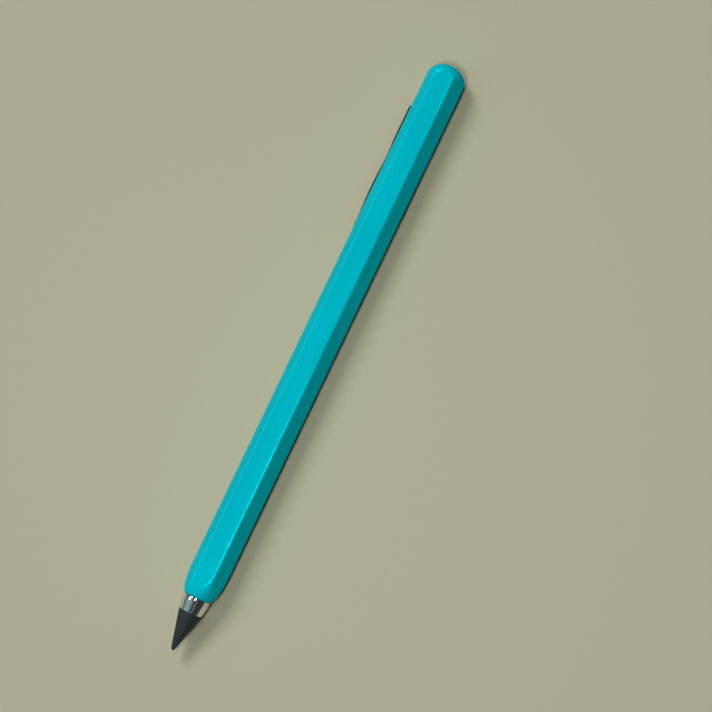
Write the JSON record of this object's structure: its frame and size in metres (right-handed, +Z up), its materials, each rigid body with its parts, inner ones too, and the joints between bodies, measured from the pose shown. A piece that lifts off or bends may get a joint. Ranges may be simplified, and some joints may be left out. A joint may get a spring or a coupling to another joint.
{
  "type": "infinity pencil",
  "caption": "Inkless pencil with a hexagonal barrel, a domed end, a screw-in graphite nib in a chrome collar and a flat sprung pocket clip.",
  "frame": {"origin": "middle of the flat facet that the pencil lies on, midway between the nib's point and the domed end", "axes": "+X along the barrel towards the domed end, the nib points to -X, +Z up from the facet that it lies on, the pocket clip is on the +Y side"},
  "size_m": [0.15, 0.01, 0.0082],
  "materials": {
    "turquoise_lacquer": "gloss",
    "chrome_plate": "polished",
    "graphite_alloy": "matte",
    "black_spring_steel": "satin",
    "brass": "satin",
    "black_rubber": "matte",
    "natural_nylon": "matte"
  },
  "bodies": {
    "barrel": {"barrel": "turquoise_lacquer", "nose_insert": "brass", "clip_lock_plug": "natural_nylon"},
    "seal_ring": {"seal_ring": "black_rubber"},
    "nib_unit": {"nib_collar": "chrome_plate", "nib_cone": "graphite_alloy"},
    "pocket_clip": {"pocket_clip": "black_spring_steel"}
  },
  "joints": [
    {"name": "nib_travel", "type": "slide", "parent": "barrel", "child": "seal_ring", "axis": [-1, 0, 0], "range_m": [0, 0.0056]},
    {"name": "nib_turn", "type": "hinge", "parent": "seal_ring", "child": "nib_unit", "pos_m": [-0.0615, 0, 0.0041], "axis": [-1, 0, 0], "range_deg": [0, 2881]},
    {"name": "clip_flex", "type": "hinge", "parent": "barrel", "child": "pocket_clip", "pos_m": [0.06285, 0.0029, 0.00243], "axis": [0, -0.5, -0.866], "range_deg": [0, 4], "stiffness_Nm_per_rad": 0.6}
  ],
  "couplings": [
    {"joint": "nib_turn", "follows": "nib_travel", "rad_per_m": 8976}
  ]
}
